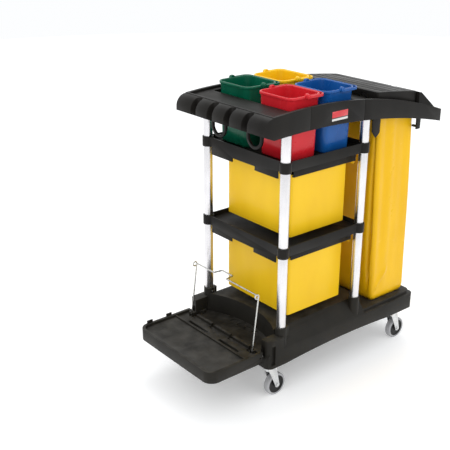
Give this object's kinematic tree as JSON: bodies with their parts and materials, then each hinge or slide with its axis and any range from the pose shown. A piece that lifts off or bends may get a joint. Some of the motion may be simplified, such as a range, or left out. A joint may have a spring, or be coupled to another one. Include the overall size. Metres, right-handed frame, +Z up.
{
  "type": "housekeeping cart",
  "caption": "Housekeeping cart with a moulded base on swivel casters, tray shelves, sliding bins, lift-out pails, a waste bag under a lid and a folding platform.",
  "frame": {"origin": "centre of the overall box on the floor, with the platform lowered", "axes": "+X towards the bag end along the length, +Y across the width to the cart's left, +Z up"},
  "size_m": [1.226, 0.516, 1.2163],
  "materials": {
    "tube": "brushed anodised tube",
    "zinc": "bright zinc plate",
    "bail_chrome": "chromed wire",
    "wheel_core": "moulded wheel core",
    "tread": "non-marking grey tread",
    "bin_yellow": "semi-gloss moulded polyethylene",
    "bag_vinyl": "coated vinyl with a soft gloss",
    "blank_plate": "plain glossy plate",
    "pail_red": "glossy polypropylene",
    "pail_blue": "glossy polypropylene",
    "pail_green": "glossy polypropylene",
    "pail_yellow": "glossy polypropylene",
    "deck_plastic": "fine-textured structural foam",
    "black_plastic": "fine-textured moulded plastic"
  },
  "bodies": {
    "cart_frame": {"base_deck": "deck_plastic", "lower_post_front_left": "tube", "lower_post_front_right": "tube", "lower_post_rear_left": "tube", "lower_post_rear_right": "tube", "middle_post_front_left": "tube", "middle_post_front_right": "tube", "middle_post_rear_left": "tube", "middle_post_rear_right": "tube", "upper_post_front_left": "tube", "upper_post_front_right": "tube", "upper_post_rear_left": "tube", "upper_post_rear_right": "tube", "lower_shelf": "black_plastic", "upper_shelf": "black_plastic", "lower_bin_runners": "black_plastic", "upper_bin_runners": "black_plastic", "hood": "black_plastic", "tool_loops": "black_plastic", "bag_hooks": "black_plastic", "nameplate": "blank_plate", "lid_hinge_pin": "zinc", "bag": "bag_vinyl", "platform_hinge_pin": "zinc", "stem_front_left": "zinc", "stem_front_right": "zinc", "stem_rear_left": "zinc", "stem_rear_right": "zinc", "post_screws": "zinc"},
    "platform": {"platform": "deck_plastic"},
    "bail": {"bail_wire": "bail_chrome"},
    "lower_bin": {"lower_bin": "bin_yellow"},
    "upper_bin": {"upper_bin": "bin_yellow"},
    "bag_lid": {"bag_lid": "black_plastic"},
    "pail_red": {"pail_red": "pail_red"},
    "handle_red": {"handle_red": "pail_red"},
    "pail_blue": {"pail_blue": "pail_blue"},
    "handle_blue": {"handle_blue": "pail_blue"},
    "pail_green": {"pail_green": "pail_green"},
    "handle_green": {"handle_green": "pail_green"},
    "pail_yellow": {"pail_yellow": "pail_yellow"},
    "handle_yellow": {"handle_yellow": "pail_yellow"},
    "swivel_front_left": {"fork_front_left": "zinc", "axle_front_left": "zinc"},
    "wheel_front_left": {"hub_front_left": "wheel_core", "tyre_front_left": "tread"},
    "swivel_front_right": {"fork_front_right": "zinc", "axle_front_right": "zinc"},
    "wheel_front_right": {"hub_front_right": "wheel_core", "tyre_front_right": "tread"},
    "swivel_rear_left": {"fork_rear_left": "zinc", "axle_rear_left": "zinc"},
    "wheel_rear_left": {"hub_rear_left": "wheel_core", "tyre_rear_left": "tread"},
    "swivel_rear_right": {"fork_rear_right": "zinc", "axle_rear_right": "zinc"},
    "wheel_rear_right": {"hub_rear_right": "wheel_core", "tyre_rear_right": "tread"}
  },
  "joints": [
    {"name": "platform_fold", "type": "hinge", "parent": "cart_frame", "child": "platform", "pos_m": [-0.362, 0, 0.205], "axis": [0, 1, 0], "range_deg": [0, 90]},
    {"name": "bail_fold", "type": "hinge", "parent": "platform", "child": "bail", "pos_m": [-0.368, 0, 0.222], "axis": [0, 1, 0], "range_deg": [-90, 0]},
    {"name": "lower_bin_slide", "type": "slide", "parent": "cart_frame", "child": "lower_bin", "axis": [-1, 0, 0], "range_m": [0, 0.085]},
    {"name": "upper_bin_slide", "type": "slide", "parent": "cart_frame", "child": "upper_bin", "axis": [-1, 0, 0], "range_m": [0, 0.25]},
    {"name": "lid_hinge", "type": "hinge", "parent": "cart_frame", "child": "bag_lid", "pos_m": [0.248, 0, 1.14718], "axis": [0, -1, 0], "range_deg": [0, 90]},
    {"name": "pail_lift_red", "type": "slide", "parent": "cart_frame", "child": "pail_red", "axis": [0, 0, 1], "range_m": [0, 0.23]},
    {"name": "handle_swing_red", "type": "hinge", "parent": "pail_red", "child": "handle_red", "pos_m": [-0.134, -0.12, 1.2053], "axis": [0, -1, 0], "range_deg": [0, 160]},
    {"name": "pail_lift_blue", "type": "slide", "parent": "cart_frame", "child": "pail_blue", "axis": [0, 0, 1], "range_m": [0, 0.23]},
    {"name": "handle_swing_blue", "type": "hinge", "parent": "pail_blue", "child": "handle_blue", "pos_m": [0.047, -0.12, 1.2053], "axis": [0, -1, 0], "range_deg": [0, 160]},
    {"name": "pail_lift_green", "type": "slide", "parent": "cart_frame", "child": "pail_green", "axis": [0, 0, 1], "range_m": [0, 0.23]},
    {"name": "handle_swing_green", "type": "hinge", "parent": "pail_green", "child": "handle_green", "pos_m": [-0.134, 0.12, 1.2053], "axis": [0, -1, 0], "range_deg": [0, 160]},
    {"name": "pail_lift_yellow", "type": "slide", "parent": "cart_frame", "child": "pail_yellow", "axis": [0, 0, 1], "range_m": [0, 0.23]},
    {"name": "handle_swing_yellow", "type": "hinge", "parent": "pail_yellow", "child": "handle_yellow", "pos_m": [0.047, 0.12, 1.2053], "axis": [0, -1, 0], "range_deg": [0, 160]},
    {"name": "caster_swivel_front_left", "type": "hinge", "parent": "cart_frame", "child": "swivel_front_left", "pos_m": [-0.298, 0.222, 0.125], "axis": [0, 0, 1], "continuous": true},
    {"name": "wheel_spin_front_left", "type": "hinge", "parent": "swivel_front_left", "child": "wheel_front_left", "pos_m": [-0.268, 0.222, 0.048], "axis": [0, 1, 0], "continuous": true},
    {"name": "caster_swivel_front_right", "type": "hinge", "parent": "cart_frame", "child": "swivel_front_right", "pos_m": [-0.298, -0.222, 0.125], "axis": [0, 0, 1], "continuous": true},
    {"name": "wheel_spin_front_right", "type": "hinge", "parent": "swivel_front_right", "child": "wheel_front_right", "pos_m": [-0.268, -0.222, 0.048], "axis": [0, 1, 0], "continuous": true},
    {"name": "caster_swivel_rear_left", "type": "hinge", "parent": "cart_frame", "child": "swivel_rear_left", "pos_m": [0.441, 0.222, 0.125], "axis": [0, 0, 1], "continuous": true},
    {"name": "wheel_spin_rear_left", "type": "hinge", "parent": "swivel_rear_left", "child": "wheel_rear_left", "pos_m": [0.471, 0.222, 0.048], "axis": [0, 1, 0], "continuous": true},
    {"name": "caster_swivel_rear_right", "type": "hinge", "parent": "cart_frame", "child": "swivel_rear_right", "pos_m": [0.441, -0.222, 0.125], "axis": [0, 0, 1], "continuous": true},
    {"name": "wheel_spin_rear_right", "type": "hinge", "parent": "swivel_rear_right", "child": "wheel_rear_right", "pos_m": [0.471, -0.222, 0.048], "axis": [0, 1, 0], "continuous": true}
  ],
  "couplings": [
    {"joint": "bail_fold", "follows": "platform_fold", "ratio": -1}
  ]
}
